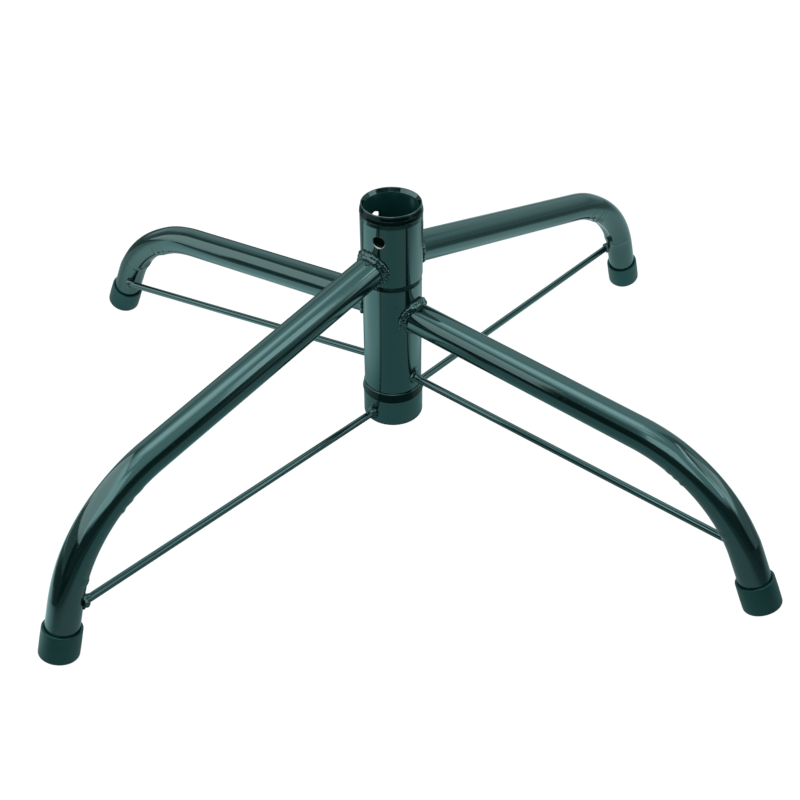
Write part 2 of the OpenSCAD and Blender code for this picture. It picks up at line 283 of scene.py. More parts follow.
def new_maker(name, sizes):
    """A geometry tree with named inputs, and its two ends."""
    tree = bpy.data.node_groups.new(name, "GeometryNodeTree")
    tree.interface.new_socket("Geometry", in_out="INPUT", socket_type="NodeSocketGeometry")
    for key, kind in sizes.items():
        tree.interface.new_socket(key, in_out="INPUT", socket_type="NodeSocket" + kind)
    tree.interface.new_socket("Geometry", in_out="OUTPUT", socket_type="NodeSocketGeometry")
    return tree, tree.nodes.new("NodeGroupInput"), tree.nodes.new("NodeGroupOutput")


def vector(tree, x=0, y=0, z=0):
    """A vector in a tree, made of numbers or outputs."""
    return add_node(tree, "ShaderNodeCombineXYZ", {0: x, 1: y, 2: z}).outputs[0]


def end_maker(tree, geometry, given, result):
    """Ends a geometry tree: its instances made real and its finish set."""
    real = add_node(tree, "GeometryNodeRealizeInstances", {"Geometry": geometry})
    coated = add_node(tree, "GeometryNodeSetMaterial",
                      {"Geometry": real.outputs[0], "Material": given.outputs["Finish"]})
    tree.links.new(coated.outputs[0], result.inputs[0])


def made(name, lines, tree, values, more=()):
    """Runs a tree on an object of plain lines and keeps the result as a plain mesh object.
    A line is (points, closed, sizes); more is modifiers that finish the shape."""
    points, edges, sizes = [], [], []
    for line, closed, size in lines:
        first = len(points)
        points += [tuple(p) for p in line]
        sizes += list(size) if size else [1.0] * len(line)
        edges += [(first + i, first + i + 1) for i in range(len(line) - 1)]
        if closed:
            edges.append((len(points) - 1, first))
    mesh = bpy.data.meshes.new(name)
    mesh.from_pydata(points, edges, [])
    mesh.attributes.new("size", "FLOAT", "POINT").data.foreach_set("value", sizes)
    host = bpy.data.objects.new(name + "_lines", mesh)
    bpy.context.scene.collection.objects.link(host)
    maker = host.modifiers.new("maker", "NODES")
    maker.node_group = tree
    keys = input_keys(tree)
    for key, value in values.items():
        maker[keys[key]] = value
    for kind, settings in more:
        extra = host.modifiers.new(kind.lower(), kind)
        for key, value in settings.items():
            setattr(extra, key, value)
    bpy.context.view_layer.update()
    view = bpy.context.evaluated_depsgraph_get()
    result = bpy.data.meshes.new_from_object(host.evaluated_get(view))
    host.modifiers.clear()
    bpy.data.objects.remove(host)
    result.name = name
    piece = bpy.data.objects.new(name, result)
    bpy.context.scene.collection.objects.link(piece)
    return piece


def diagonal(tree, a, b):
    """The length of a line that goes a one way and b the other."""
    return maths(tree, "SQRT", maths(tree, "ADD", maths(tree, "MULTIPLY", a, a),
                                     maths(tree, "MULTIPLY", b, b)))


def steel_finish():
    """Cut steel with a painted highlight low in the hole's outer end, and painted shade deeper in
    and higher up.
    """
    mat, tree, place = new_finish("cut_steel")
    x, y, z = add_node(tree, "ShaderNodeSeparateXYZ", {0: place}).outputs
    painted_glint_outer = scaled(tree, diagonal(tree, x, y), 18.0 * MM, 18.7 * MM)
    painted_glint_low = scaled(tree, z, SCREW_Z + 1.0 * MM, SCREW_Z - 1.8 * MM, 0.12)
    stain = mottle(tree, place, 900, 2)
    fresh = blended(tree, stain, (0.80, 0.80, 0.78, 1), (0.50, 0.52, 0.51, 1))
    shader = set_finish(tree, blended(tree, maths(tree, "MULTIPLY", painted_glint_outer, painted_glint_low),
                                      (0.010, 0.022, 0.020, 1), fresh),
                        scaled(tree, stain, 0, 1, 0.22, 0.45))
    shader.inputs["Metallic"].default_value = 1
    return mat


cut_steel = steel_finish()

thread_maker, given, result = new_maker(
    "screw_thread", {"Radius": "Float", "Pitch": "Float", "Turns": "Float", "Depth": "Float",
                     "Rim": "Float", "Finish": "Material"})
helix_height = maths(thread_maker, "MULTIPLY", given.outputs["Pitch"], given.outputs["Turns"])
helix = add_node(thread_maker, "GeometryNodeCurveSpiral",
                 {"Resolution": 40, "Rotations": given.outputs["Turns"],
                  "Start Radius": given.outputs["Radius"], "End Radius": given.outputs["Radius"],
                  "Height": helix_height})
ridge = add_node(thread_maker, "GeometryNodeCurvePrimitiveCircle",
                 {"Resolution": 5, "Radius": given.outputs["Depth"]})
thread = add_node(thread_maker, "GeometryNodeCurveToMesh",
                  {"Curve": helix.outputs[0], "Profile Curve": ridge.outputs["Curve"]})
half_height = maths(thread_maker, "MULTIPLY", helix_height, 0.5)
wall = add_node(thread_maker, "GeometryNodeMeshCylinder",
                {"Vertices": 48, "Radius": given.outputs["Radius"], "Depth": helix_height},
                fill_type="NONE")
wall_moved = add_node(thread_maker, "GeometryNodeTransform",
                      {"Geometry": wall.outputs["Mesh"],
                       "Translation": vector(thread_maker, z=half_height)})
rim_line = add_node(thread_maker, "GeometryNodeMeshToCurve", {"Mesh": given.outputs["Geometry"]})
rim_round = add_node(thread_maker, "GeometryNodeCurvePrimitiveCircle",
                     {"Resolution": 8, "Radius": given.outputs["Rim"]})
rim = add_node(thread_maker, "GeometryNodeCurveToMesh",
               {"Curve": rim_line.outputs[0], "Profile Curve": rim_round.outputs["Curve"]})
joined = add_node(thread_maker, "GeometryNodeJoinGeometry")
for part in (thread.outputs[0], wall_moved.outputs[0], rim.outputs[0]):
    thread_maker.links.new(part, joined.inputs[0])
end_maker(thread_maker, joined.outputs[0], given, result)

# how far from the column's axis each thread begins, just inside the socket tube's bore
THREAD_FROM = 15.9 * MM
for number, turn in enumerate(SCREW_TURNS):
    # the rim follows the saddle where the hole leaves the sleeve, in the hole's own frame
    saddle = [(SCREW_R * math.cos(a), SCREW_R * math.sin(a),
               math.sqrt(SLEEVE_R ** 2 - (SCREW_R * math.sin(a)) ** 2) - THREAD_FROM)
              for a in (2 * math.pi * k / 48 for k in range(48))]
    piece = made(f"tapped_thread_{number + 1}", [(saddle, True, None)], thread_maker,
                 {"Radius": SCREW_R - 0.05 * MM, "Pitch": 1.0 * MM, "Turns": 2.55,
                  "Depth": 0.40 * MM, "Rim": 0.15 * MM, "Finish": cut_steel})
    a = math.radians(turn)
    out = Vector((math.cos(a), math.sin(a), 0))
    side = Vector((-math.sin(a), math.cos(a), 0))
    up = Vector((0, 0, 1))
    lie = Matrix((up, side, out)).transposed()
    piece.data.transform(Matrix.Translation(out * THREAD_FROM + up * SCREW_Z) @ lie.to_4x4())
    for face in piece.data.polygons:
        face.use_smooth = True
    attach(piece, "upper_frame")


# Swivelling sleeve
# The long steel sleeve that turns on the socket tube and carries the lower legs. Its lower
# edge is rounded over and shows as a bright line above the dark ring that it rests on.
SWIVEL_BORE_R = 17.4 * MM
SWIVEL_R = 18.6 * MM
SWIVEL_LOW, SWIVEL_TOP = 49.3 * MM, 129.8 * MM
swivel = finished(
    "swivel_sleeve_turned",
    turned(rounded([(SWIVEL_BORE_R, SWIVEL_LOW), (SWIVEL_R, SWIVEL_LOW, 0.7 * MM),
                    (SWIVEL_R, SWIVEL_TOP - 2.0 * MM, 0.8 * MM),
                    (SWIVEL_R - 0.6 * MM, SWIVEL_TOP, 0.1 * MM), (SWIVEL_BORE_R, SWIVEL_TOP)],
                   0.1 * MM)),
    green_enamel)
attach(swivel, "lower_frame")
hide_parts("swivel_sleeve")


# Thrust ring, bottom collar and pole stop
# A half-round steel ring and a thick collar are fixed to the foot of the socket tube. They keep
# the swivelling sleeve up and hold the inner ends of the upper legs' rods. A disc in the collar
# stops the pole.
RING_LOW, RING_TOP = 42.6 * MM, 49.0 * MM
COLLAR_R = 19.5 * MM
COLLAR_LOW = 23.4 * MM
ring = finished(
    "thrust_ring_rolled",
    turned(rounded([(SOCKET_R, RING_LOW, 0), (19.7 * MM, RING_LOW, 0.2 * MM),
                    (20.05 * MM, RING_LOW + 0.8 * MM, 0.5 * MM),
                    (19.20 * MM, RING_TOP - 1.7 * MM, 0.4 * MM),
                    (19.05 * MM, RING_TOP, 0.7 * MM), (SOCKET_R, RING_TOP, 0.1 * MM)],
                   0, 6)),
    painted_shade_enamel)
ring.data.materials.append(green_enamel)
# painted shade: the ring is the darker, duller enamel all over but for its top edge
for face in ring.data.polygons:
    face.material_index = 1 if face.center.z > RING_TOP - 0.55 * MM else 0
collar = finished(
    "bottom_collar_turned",
    turned(rounded([(SOCKET_R, COLLAR_LOW), (COLLAR_R, COLLAR_LOW, 2.0 * MM),
                    (COLLAR_R, RING_LOW, 0.5 * MM), (SOCKET_R, RING_LOW)], 0.1 * MM)),
    green_enamel)
# painted shadow: the collar's lower edge gets the darker, duller enamel, a dark band where its
# contact shadow falls
collar.data.materials.append(painted_shade_enamel)
for face in collar.data.polygons:
    face.material_index = 1 if face.center.z < COLLAR_LOW + 0.9 * MM else 0
for piece, node in ((ring, "thrust_ring"), (collar, "bottom_collar")):
    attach(piece, "upper_frame")
    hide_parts(node)
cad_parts["pole_stop"].data.materials.clear()
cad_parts["pole_stop"].data.materials.append(green_enamel)


# Leg tubes
# Four bent steel tubes, each cut to the curve of its sleeve and welded. The bending press has
# pushed in the inside of each bend between two creases, raised small folds where the dent begins
# and ends, and left the outside of the bend a little flat.
LEG_R = 9.75 * MM
BEND_R = 95 * MM
# for each pair, in mm and degrees: the body and the turn of its legs; the height of their line on
# the column's axis, the slope of its long run, the lean of its short run and both lengths; where
# round the bend the dent lies; the rod's ends, the wall that it starts from and how far short of
# the leg's line it stops; and each ball of weld spatter as its turn, height and size
LEGS = {
    "upper": {"body": "upper_frame", "sides": {"right": 0, "left": 180}, "hub": SLEEVE_R,
              "axis_z": 144.83, "slope": 13.7, "lean": 19.3, "long": 191.864, "end": 37.617,
              "press": (30, 55), "press_depth": 0.75,
              "rod_in": (0, 0, 30.4), "rod_out": (254.265, 7.2, 36.5),
              "rod_hub": COLLAR_R, "rod_short": 7.5,
              "spatter": [(37, 142.1, 0.5)], "rod_spatter": []},
    "lower": {"body": "lower_frame", "sides": {"back": 98, "front": 278}, "hub": SWIVEL_R,
              "axis_z": 106.69, "slope": 5.8, "lean": 26.6, "long": 175.139, "end": 36.658,
              "press": (40, 60), "press_depth": 1.0,
              "rod_in": (0, -2.4, 60.8), "rod_out": (252.598, 8.4, 31),
              "rod_hub": SWIVEL_R, "rod_short": 8.0,
              "spatter": [(-48, 117, 0.4)], "rod_spatter": [(7.4, 69.4, 0.3), (0, 65.7, 0.4)]},
}


def bend_points(leg):
    """Bend start, middle and end of a leg's line, in its own upright plane."""
    slope, lean = math.radians(leg["slope"]), math.radians(leg["lean"])
    start = Vector((leg["long"] * math.cos(slope), 0,
                    leg["axis_z"] - leg["long"] * math.sin(slope))) * MM
    middle = start - BEND_R * Vector((math.sin(slope), 0, math.cos(slope)))
    end = middle + BEND_R * Vector((math.cos(lean), 0, math.sin(lean)))
    return start, middle, end


def leg_line(leg):
    """Points along a leg's middle line, close together round the bend."""
    slope, lean = math.radians(leg["slope"]), math.radians(leg["lean"])
    start, middle, end = bend_points(leg)
    run = Vector((math.cos(slope), 0, -math.sin(slope)))
    root = Vector((0, 0, leg["axis_z"] * MM))
    line = [root + run * d * MM for d in [10] + list(range(24, int(leg["long"]) - 3, 8))]
    steps = 190
    for k in range(steps + 1):
        a = math.pi / 2 - slope + (lean - math.pi / 2 + slope) * k / steps
        line.append(middle + BEND_R * Vector((math.cos(a), 0, math.sin(a))))
    down = Vector((math.sin(lean), 0, -math.cos(lean)))
    return line + [end + down * d * MM for d in (5, 10, 18, 26, leg["end"] - 2.5)]


def curved(tree, value, points):
    """A value from 0 to 1 read off a curve through (x, y) points."""
    node = add_node(tree, "ShaderNodeFloatCurve", {"Value": value})
    curve = node.mapping.curves[0]
    curve.points[0].location, curve.points[1].location = points[0], points[-1]
    for x, y in points[1:-1]:
        curve.points.new(x, y)
    for point in curve.points:
        point.handle_type = "AUTO_CLAMPED"
    node.mapping.update()
    return node.outputs[0]


tube_maker, given, result = new_maker(
    "bent_tube", {"Tube radius": "Float", "Bend middle": "Vector", "Bend radius": "Float",
                  "Press depth": "Float", "Press from": "Float", "Press to": "Float",
                  "Fold height": "Float", "Crown": "Float", "Turn": "Float",
                  "Finish": "Material"})
line = add_node(tube_maker, "GeometryNodeMeshToCurve", {"Mesh": given.outputs["Geometry"]})
ring_line = add_node(tube_maker, "GeometryNodeCurvePrimitiveCircle",
                     {"Resolution": 112, "Radius": given.outputs["Tube radius"]})
tube = add_node(tube_maker, "GeometryNodeCurveToMesh",
                {"Curve": line.outputs[0], "Profile Curve": ring_line.outputs["Curve"],
                 "Fill Caps": True})
radius, depth = given.outputs["Tube radius"], given.outputs["Press depth"]
here = add_node(tube_maker, "GeometryNodeInputPosition").outputs[0]
from_middle = add_node(tube_maker, "ShaderNodeVectorMath",
                       {0: here, 1: given.outputs["Bend middle"]}, operation="SUBTRACT")
x, y, z = add_node(tube_maker, "ShaderNodeSeparateXYZ", {0: from_middle.outputs[0]}).outputs
far = diagonal(tube_maker, x, z)
across = maths(tube_maker, "SUBTRACT", far, given.outputs["Bend radius"])
# the place along the dent, wandering a little: 0.2 where it begins and 0.6 where it ends
span = maths(tube_maker, "SUBTRACT", given.outputs["Press to"], given.outputs["Press from"])
wander = maths(tube_maker, "MULTIPLY",
               maths(tube_maker, "SUBTRACT", mottle(tube_maker, here, 95, 1), 0.5),
               maths(tube_maker, "MULTIPLY", span, 0.24))
round_bend = maths(tube_maker, "ARCTAN2", z, x)
dent_from = maths(tube_maker, "MULTIPLY_ADD", span, -0.5, given.outputs["Press from"])
dent_to = maths(tube_maker, "ADD", given.outputs["Press to"], span)
steady = scaled(tube_maker, round_bend, dent_from, dent_to)
place = scaled(tube_maker, maths(tube_maker, "ADD", round_bend, wander), dent_from, dent_to)
pressed = curved(tube_maker, place, [(0, 0), (0.17, 0), (0.23, 1), (0.57, 1), (0.62, 0), (1, 0)])
folds = curved(tube_maker, place, [(0, 0), (0.13, 0), (0.16, 1), (0.19, 0), (0.60, 0), (0.625, 1),
                                   (0.65, 0.1), (0.69, 0.8), (0.72, 0.05), (0.765, 0.6), (0.8, 0),
                                   (1, 0)])
flattened = curved(tube_maker, steady, [(0, 0), (0.2, 1), (0.6, 1), (0.9, 0), (1, 0)])
# the dent: a dished flat inside the bend that meets the round wall in two creases
inner_wall = maths(tube_maker, "SUBTRACT", depth, radius)
half_width = maths(tube_maker, "SQRT",
                   maths(tube_maker, "SUBTRACT", maths(tube_maker, "MULTIPLY", radius, radius),
                         maths(tube_maker, "MULTIPLY", inner_wall, inner_wall)))
sideways = maths(tube_maker, "DIVIDE", y, half_width)
dish = maths(tube_maker, "MULTIPLY", maths(tube_maker, "MULTIPLY", depth, 0.2),
             maths(tube_maker, "SUBTRACT", 1, maths(tube_maker, "MULTIPLY", sideways, sideways)))
wall_at = maths(tube_maker, "SUBTRACT",
                maths(tube_maker, "MULTIPLY", pressed, maths(tube_maker, "ADD", depth, dish)),
                radius)
dented_to = maths(tube_maker, "MAXIMUM", across, wall_at)
# the crown: the outside of the bend sinks towards the middle line
outward = maths(tube_maker, "DIVIDE", maths(tube_maker, "MAXIMUM", across, 0), radius)
sunk = maths(tube_maker, "MULTIPLY", maths(tube_maker, "MULTIPLY", flattened,
                                           given.outputs["Crown"]),
             maths(tube_maker, "POWER", outward, 4))
push = maths(tube_maker, "DIVIDE",
             maths(tube_maker, "SUBTRACT", maths(tube_maker, "SUBTRACT", dented_to, across), sunk),
             far)
shift = vector(tube_maker, x=maths(tube_maker, "MULTIPLY", x, push),
               z=maths(tube_maker, "MULTIPLY", z, push))
# the folds: low ridges across the inside that die out on the tube's sides
inward = maths(tube_maker, "DIVIDE", across, maths(tube_maker, "MULTIPLY", radius, -1))
raised = maths(tube_maker, "MULTIPLY", maths(tube_maker, "MULTIPLY", folds,
                                             given.outputs["Fold height"]),
               scaled(tube_maker, inward, -0.25, 0.5, easing="SMOOTHSTEP"))
outwards = add_node(tube_maker, "GeometryNodeInputNormal").outputs[0]
ridge = add_node(tube_maker, "ShaderNodeVectorMath", {0: outwards, "Scale": raised},
                 operation="SCALE")
both = add_node(tube_maker, "ShaderNodeVectorMath", {0: shift, 1: ridge.outputs[0]},
                operation="ADD")
dented = add_node(tube_maker, "GeometryNodeSetPosition",
                  {"Geometry": tube.outputs[0], "Offset": both.outputs[0]})
swung = add_node(tube_maker, "GeometryNodeTransform",
                 {"Geometry": dented.outputs[0],
                  "Rotation": vector(tube_maker, z=given.outputs["Turn"])})
end_maker(tube_maker, swung.outputs[0], given, result)


def cut_root(piece, leg, turn):
    """Slides the root's ring along the tube until it lies just inside the sleeve's wall."""
    slope = math.radians(leg["slope"])
    hub = leg["hub"] - 0.3 * MM
    swing = Matrix.Rotation(math.radians(turn), 4, "Z")
    back = swing.inverted()
    for vert in piece.data.vertices:
        p = back @ vert.co
        if math.hypot(p.x, p.y) < leg["hub"] and p.x > 0:
            up = p.z - leg["axis_z"] * MM
            off = p.x * math.sin(slope) + up * math.cos(slope)
            along = (math.sqrt(hub ** 2 - p.y ** 2) - off * math.sin(slope)) / math.cos(slope)
            vert.co = swing @ Vector((
                along * math.cos(slope) + off * math.sin(slope), p.y,
                leg["axis_z"] * MM - along * math.sin(slope) + off * math.cos(slope)))


for pair, leg in LEGS.items():
    middle = bend_points(leg)[1]
    for side, turn in leg["sides"].items():
        piece = made(f"{pair}_leg_{side}_bent", [(leg_line(leg), False, None)], tube_maker,
                     {"Tube radius": LEG_R, "Bend middle": middle, "Bend radius": BEND_R,
                      "Press depth": leg["press_depth"] * MM,
                      "Press from": math.radians(leg["press"][0]),
                      "Press to": math.radians(leg["press"][1]), "Fold height": 0.42 * MM,
                      "Crown": 0.8 * MM, "Turn": math.radians(turn), "Finish": green_enamel})
        cut_root(piece, leg, turn)
        bm = bmesh.new()
        bm.from_mesh(piece.data)
        bmesh.ops.recalc_face_normals(bm, faces=bm.faces)
        bm.to_mesh(piece.data)
        bm.free()
        for face in piece.data.polygons:
            face.use_smooth = len(face.vertices) == 4
        piece.data.set_sharp_from_angle(angle=math.radians(50))
        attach(piece, leg["body"])
        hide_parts(f"{pair}_leg_{side}")


# Brace rods
# Straight round steel rods from the foot of the column to the side of each leg's end, sheared
# to length with their edges knocked off, and welded before the frame is dipped. Each rod stops
# inside its weld at the leg's edge.
ROD_R = 2.4 * MM
# drawn rod is smoother than tube, so its enamel is deeper and glossier
rod_enamel = enamel_finish("rod_enamel", (0.0001, 0.0030, 0.0028), (0.0003, 0.0044, 0.0041),
                           0.000003, 0.04, 2.1)
for pair, leg in LEGS.items():
    inner, outer = Vector(leg["rod_in"]) * MM, Vector(leg["rod_out"]) * MM
    way = (outer - inner).normalized()
    start = inner + way * (leg["rod_hub"] - 0.6 * MM)
    length = (outer - start).length - leg["rod_short"] * MM
    lie = Matrix.Translation(start) @ way.to_track_quat("Z", "Y").to_matrix().to_4x4()
    runs = [(ROD_R, length * k / 12, 0) for k in range(1, 12)]
    for side, turn in leg["sides"].items():
        bm = turned(rounded([(0, 0, 0), (ROD_R, 0, 0.5 * MM)] + runs
                            + [(ROD_R, length, 0.5 * MM), (0, length, 0)], 0), 40)
        bmesh.ops.transform(bm, matrix=Matrix.Rotation(math.radians(turn), 4, "Z") @ lie,
                            verts=bm.verts)
        rod = finished(f"{pair}_brace_{side}_rod", bm, rod_enamel)
        rod.data.set_sharp_from_angle(angle=math.radians(50))
        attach(rod, leg["body"])
        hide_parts(f"{pair}_brace_{side}")


# Welds
# Hand-laid beads of weld metal under the enamel: a thick bead of overlapping ripples round each
# leg's root, laid in two runs on its upper side, a drop-shaped lump at both ends of every rod,
# and a few balls of spatter. The enamel pools in their hollows.
weld_enamel = enamel_finish("weld_enamel", (0.0003, 0.0050, 0.0046), (0.0006, 0.0070, 0.0065),
                            0.00001, 0.07)

bead_maker, given, result = new_maker(
    "weld_bead", {"Pitch": "Float", "Lump": "Float", "Flatness": "Float", "Unevenness": "Float",
                  "Seed": "Int", "Finish": "Material"})
bead_line = add_node(bead_maker, "GeometryNodeMeshToCurve", {"Mesh": given.outputs["Geometry"]})
stops = add_node(bead_maker, "GeometryNodeResampleCurve",
                 {"Curve": bead_line.outputs[0], "Length": given.outputs["Pitch"]}, mode="LENGTH")
size = add_node(bead_maker, "GeometryNodeInputNamedAttribute", {"Name": "size"},
                data_type="FLOAT").outputs["Attribute"]
vary = add_node(bead_maker, "FunctionNodeRandomValue",
                {2: maths(bead_maker, "SUBTRACT", 1, given.outputs["Unevenness"]),
                 3: maths(bead_maker, "ADD", 1, given.outputs["Unevenness"]),
                 "Seed": given.outputs["Seed"]}, data_type="FLOAT")
grown = maths(bead_maker, "MULTIPLY", size, vary.outputs[1])
thin = maths(bead_maker, "MULTIPLY", grown, given.outputs["Flatness"])
reach = maths(bead_maker, "MULTIPLY", given.outputs["Unevenness"], given.outputs["Lump"])
low = maths(bead_maker, "MULTIPLY", reach, -1)
drift = add_node(bead_maker, "FunctionNodeRandomValue",
                 {0: vector(bead_maker, low, low, low), 1: vector(bead_maker, reach, reach, reach),
                  "Seed": given.outputs["Seed"]}, data_type="FLOAT_VECTOR")
tangent = add_node(bead_maker, "GeometryNodeInputTangent").outputs[0]
facing = add_node(bead_maker, "FunctionNodeAlignRotationToVector", {"Vector": tangent}, axis="Z")
lump = add_node(bead_maker, "GeometryNodeMeshIcoSphere",
                {"Radius": given.outputs["Lump"], "Subdivisions": 3})
lumps = add_node(bead_maker, "GeometryNodeInstanceOnPoints",
                 {"Points": stops.outputs[0], "Instance": lump.outputs["Mesh"],
                  "Rotation": facing.outputs[0], "Scale": vector(bead_maker, grown, grown, thin)})
wandered = add_node(bead_maker, "GeometryNodeTranslateInstances",
                    {"Instances": lumps.outputs[0], "Translation": drift.outputs[0],
                     "Local Space": False})
end_maker(bead_maker, wandered.outputs[0], given, result)

ROOT_BEAD = {"Pitch": 1.9 * MM, "Lump": 1.95 * MM, "Flatness": 1.1, "Unevenness": 0.17}
HUB_LUMP = {"Pitch": 1.2 * MM, "Lump": 1.6 * MM, "Flatness": 1.0, "Unevenness": 0.16}
FOOT_LUMP = {"Pitch": 1.2 * MM, "Lump": 1.45 * MM, "Flatness": 1.0, "Unevenness": 0.16}


def weld(name, lines, sizes, seed, hub, turn, body, node):
    """One weld: lumps along the lines, fused into one skin, kept out of the sleeve's bore."""
    piece = made(name, lines, bead_maker, {**sizes, "Seed": seed, "Finish": weld_enamel},
                 [("REMESH", {"mode": "VOXEL", "voxel_size": 0.27 * MM}),
                  ("SMOOTH", {"factor": 0.5, "iterations": 9})])
    piece.data.transform(Matrix.Rotation(math.radians(turn), 4, "Z"))
    for vert in piece.data.vertices:
        away = math.hypot(vert.co.x, vert.co.y)
        if away < hub:
            vert.co.x *= hub / away
            vert.co.y *= hub / away
    for face in piece.data.polygons:
        face.use_smooth = True
    piece.data.materials.clear()
    piece.data.materials.append(weld_enamel)
    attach(piece, body)
    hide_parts(node)


RING_POINTS = 48


def meeting_ring(start, way, radius, outside, reach=60 * MM):
    """The ring where the skin of a round bar comes out of a wall, found by halving."""
    side = way.cross(Vector((0, 0, 1))).normalized()
    up = side.cross(way).normalized()
    ring = []
    for k in range(RING_POINTS):
        a = 2 * math.pi * k / RING_POINTS
        base = start + radius * (math.cos(a) * up + math.sin(a) * side)
        low, high = 0, reach
        for _ in range(24):
            half = (low + high) / 2
            low, high = (low, half) if outside(base + way * half) else (half, high)
        ring.append(base + way * high)
    return ring


def off_leg(leg, p):
    """How far a point lies from a leg's middle line."""
    slope, lean = math.radians(leg["slope"]), math.radians(leg["lean"])
    v = Vector((p.x, 0, p.z)) - bend_points(leg)[1]
    a = math.atan2(v.z, v.x)
    if a < lean:
        across = v.x * math.cos(lean) + v.z * math.sin(lean) - BEND_R
    elif a > math.pi / 2 - slope:
        across = v.x * math.sin(slope) + v.z * math.cos(slope) - BEND_R
    else:
        across = v.length - BEND_R
    return math.hypot(across, p.y)


def balls(leg_hub, spots):
    """Spatter: single lumps on a sleeve, each given by its turn, height and size."""
    return [([Vector((leg_hub * math.cos(math.radians(t)), leg_hub * math.sin(math.radians(t)),
                      h * MM + d)) for d in (0, 0.00003)], False, (size, size))
            for t, h, size in spots]


seed = 3
for pair, leg in LEGS.items():
    slope = math.radians(leg["slope"])
    run, root = Vector((math.cos(slope), 0, -math.sin(slope))), Vector((0, 0, leg["axis_z"] * MM))
    rod_in, rod_out = Vector(leg["rod_in"]) * MM, Vector(leg["rod_out"]) * MM
    rod = (rod_out - rod_in).normalized()
    hub, rod_hub = leg["hub"], leg["rod_hub"]
    inner = meeting_ring(root, run, LEG_R + 0.1 * MM, lambda p: math.hypot(p.x, p.y) > hub)
    outer = meeting_ring(root, run, LEG_R + 2.0 * MM, lambda p: math.hypot(p.x, p.y) > hub)
    turns = [2 * math.pi * k / RING_POINTS for k in range(RING_POINTS)]
    first_run = [p + run * (0.9 + 0.5 * math.cos(a)) * MM for p, a in zip(inner, turns)]
    first_sizes = [0.88 + 0.38 * math.cos(a) for a in turns]
    # the second run covers the upper side only
    second_run = [outer[k % RING_POINTS] + run * 0.6 * MM for k in range(-14, 15)]
    hub_ring = meeting_ring(rod_in, rod, 2.7 * MM, lambda p: math.hypot(p.x, p.y) > rod_hub)
    hub_at = sum(hub_ring, Vector()) / RING_POINTS
    rod_end = rod_out - rod * leg["rod_short"] * MM
    foot_ring = meeting_ring(rod_end, -rod, 2.5 * MM, lambda p: off_leg(leg, p) > LEG_R)
    foot_at = sum(foot_ring, Vector()) / RING_POINTS
    lean = math.radians(leg["lean"])
    drip = [foot_at + Vector((math.sin(lean), 0, -math.cos(lean))) * d * MM
            for d in (0.5, 2.2, 3.9, 5.6)]
    for side, turn in leg["sides"].items():
        seed += 5
        weld(f"{pair}_leg_weld_{side}_bead",
             [(first_run, True, first_sizes), (second_run, False, [0.85] * len(second_run))]
             + balls(hub, leg["spatter"]),
             ROOT_BEAD, seed, hub - 0.05 * MM, turn, leg["body"], f"{pair}_leg_weld_{side}")
        rise = [hub_at + Vector((0.2 * MM, 0, d * MM)) for d in (7.5, 5.5, 3.5, 1.5)]
        tail = [hub_at + rod * d * MM + Vector((0, 0, 0.8 * MM)) for d in (1, 3, 5, 7)]
        weld(f"{pair}_brace_hub_weld_{side}_lump",
             [(hub_ring, True, None), (rise, False, (0.5, 0.85, 1.05, 1.2)),
              (tail, False, (1.5, 1.35, 1.1, 0.8))] + balls(rod_hub, leg["rod_spatter"]),
             HUB_LUMP, seed + 1, rod_hub - 0.2 * MM, turn, leg["body"],
             f"{pair}_brace_hub_weld_{side}")
        tail = [foot_at - rod * d * MM + Vector((0, 0, 1.4 * MM)) for d in (1, 3, 5, 7.5)]
        weld(f"{pair}_brace_foot_weld_{side}_lump",
             [(foot_ring, True, None), (tail, False, (1.25, 1.1, 0.8, 0.6)),
              (drip, False, (1.2, 1.1, 0.85, 0.5)),
              ([rod_end + Vector((0, 0, 0.7 * MM)) - rod * d * MM for d in (0.6, 1.6)], False,
               (1.0, 1.1))],
             FOOT_LUMP, seed + 2, rod_hub, turn, leg["body"],
             f"{pair}_brace_foot_weld_{side}")


# Foot caps
# A plastic cup pushed over each leg's end, dark green and matt, a little wider than the tube,
# with a soft rim, a rounded floor edge and a small flat worn where it stands.
CAP_R = 11.5 * MM
CAP_L = 18.6 * MM


def plastic_finish():
    """Moulded plastic: even colour, a fine grain, and scuffs that lighten it a little."""
    mat, tree, place = new_finish("cap_plastic")
    scuff = mottle(tree, place, 120, 5, 0.7)
    shade = blended(tree, scaled(tree, scuff, 0.5, 0.75), (0.0020, 0.0125, 0.0113, 1),
                    (0.0036, 0.0170, 0.0156, 1))
    shader = set_finish(tree, shade, scaled(tree, scuff, 0, 1, 0.34, 0.5),
                        mottle(tree, place, 1800, 2), 0.00001)
    shader.inputs["IOR"].default_value = 1.72
    shader.inputs["Specular Tint"].default_value = (0.32, 1.0, 1.0, 1)
    return mat


